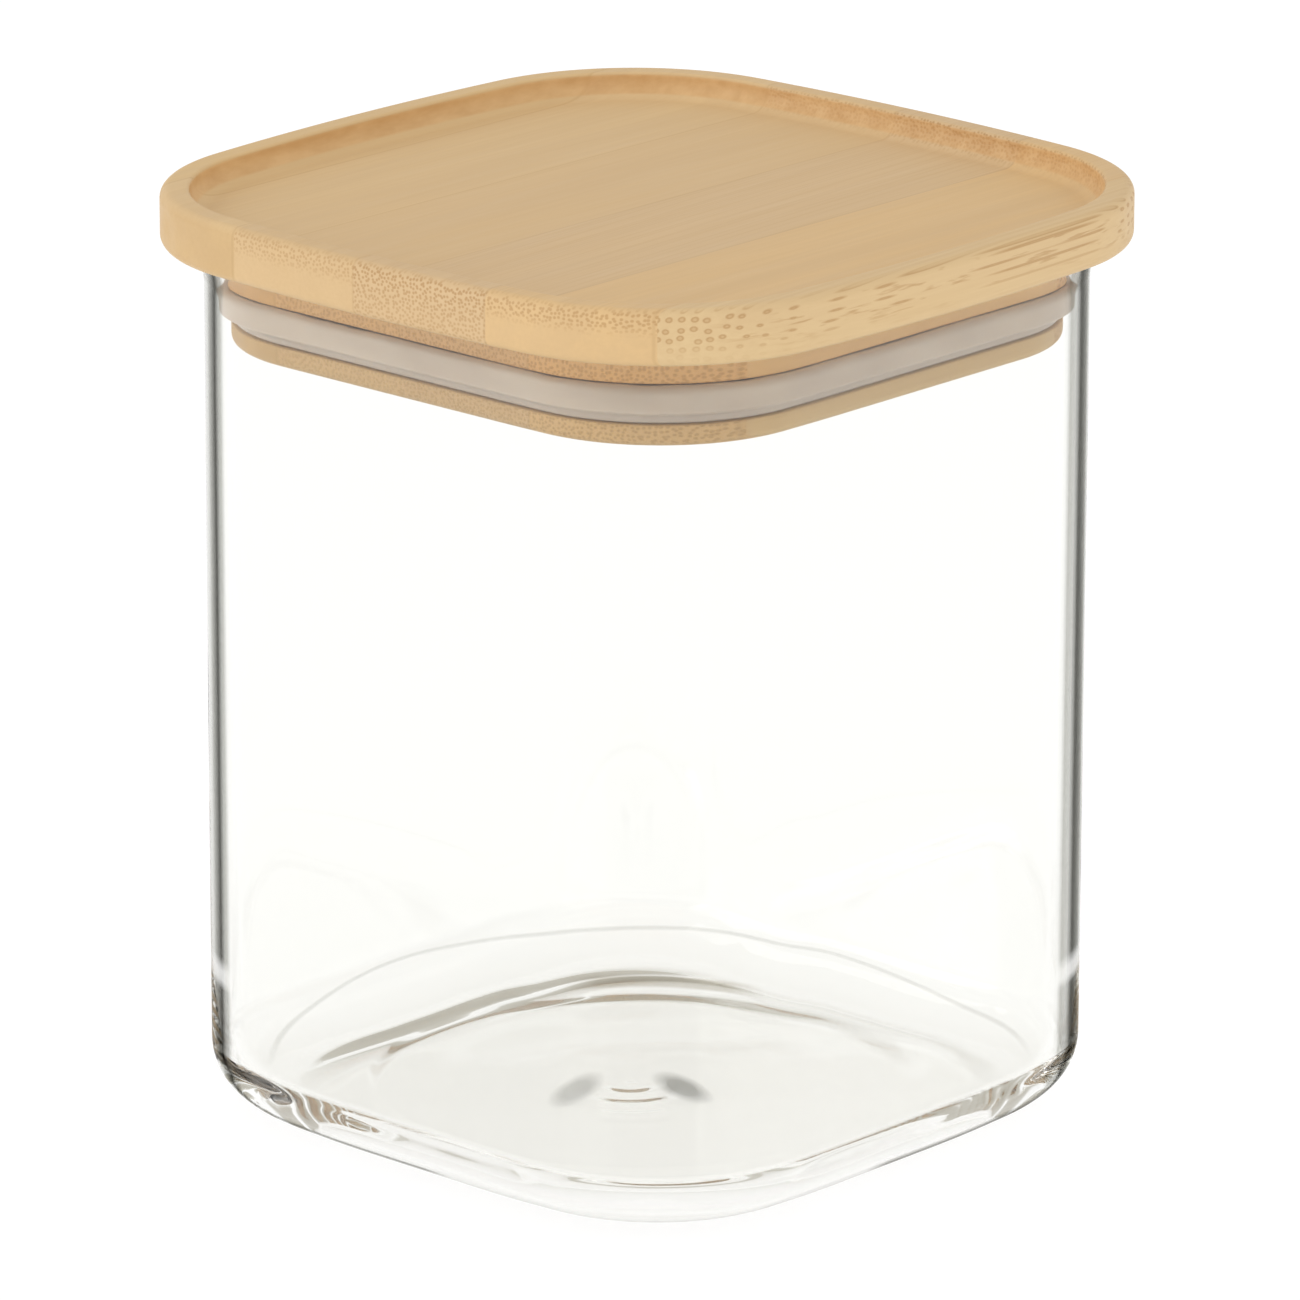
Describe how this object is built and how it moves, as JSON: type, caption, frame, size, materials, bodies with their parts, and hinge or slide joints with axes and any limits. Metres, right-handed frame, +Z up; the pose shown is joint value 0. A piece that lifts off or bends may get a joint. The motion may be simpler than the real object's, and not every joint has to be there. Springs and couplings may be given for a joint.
{
  "type": "storage jar",
  "caption": "Square clear glass storage jar with round corners and a bamboo lid whose plug seals with a silicone ring.",
  "frame": {"origin": "middle of the jar's foot, on the surface that it stands on", "axes": "+Z up, X and Y square to the flat sides of the jar; the grain of the bamboo runs along Y"},
  "size_m": [0.1, 0.1, 0.1164],
  "materials": {
    "clear_glass": "clear, fire-polished, faint green-grey at the edges",
    "bamboo": "satin, light honey, fine end-grain dots and long streaks",
    "silicone": "translucent, cloudy"
  },
  "bodies": {
    "jar": {"glass_jar": "clear_glass"},
    "lid": {"bamboo_lid": "bamboo", "seal_ring": "silicone"}
  },
  "joints": [
    {"name": "lid_lift", "type": "slide", "parent": "jar", "child": "lid", "axis": [0, 0, 1], "range_m": [0, 0.04]}
  ]
}
